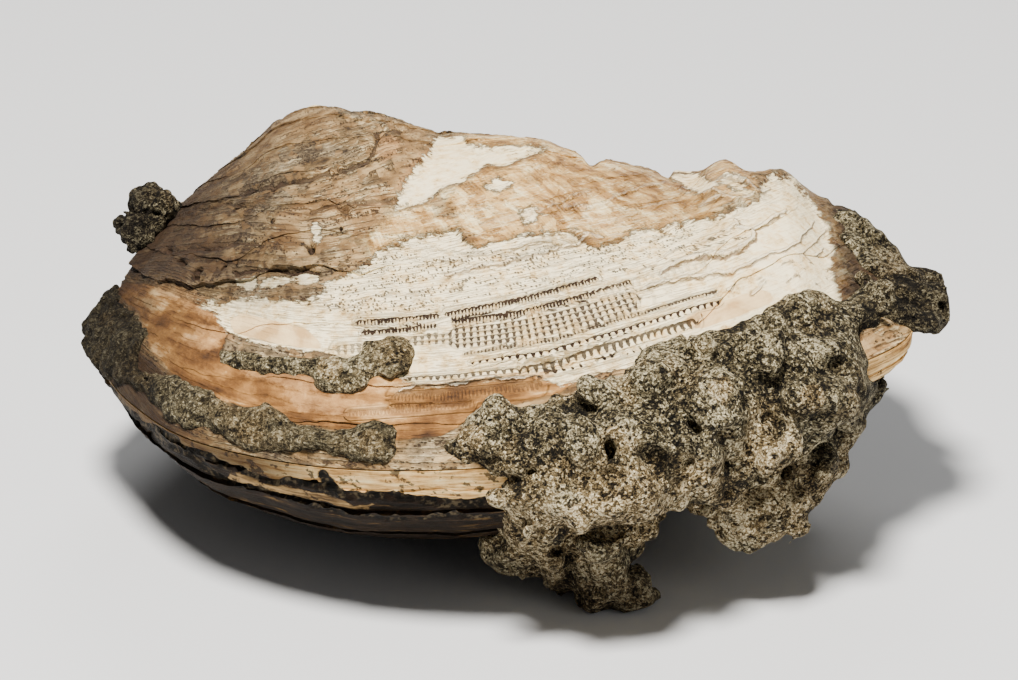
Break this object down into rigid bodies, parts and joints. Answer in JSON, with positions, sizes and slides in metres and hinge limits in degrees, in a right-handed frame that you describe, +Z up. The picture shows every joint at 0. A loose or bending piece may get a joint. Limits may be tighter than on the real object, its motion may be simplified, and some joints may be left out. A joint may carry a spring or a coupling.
{
  "type": "fossil clam shell",
  "caption": "Fossil clam with both valves closed, worn growth layers and crusts of sandy matrix, lying on its lower valve.",
  "frame": {"origin": "under the middle of the whole object, on the surface that it rests on", "axes": "+X along the shell from its front end to its back end, +Y from its open margin to its hinge, +Z up"},
  "size_m": [0.1396, 0.1212, 0.0584],
  "materials": {
    "chalk": "chalky, worn mineral shell",
    "ochre": "satin, stained mineral shell",
    "matrix": "rough, gritty sandstone"
  },
  "bodies": {
    "root": {"upper_valve": "chalk", "lower_valve": "ochre", "matrix_mass": "matrix", "matrix_seam": "matrix", "matrix_patch": "matrix", "matrix_knob": "matrix"}
  },
  "joints": []
}
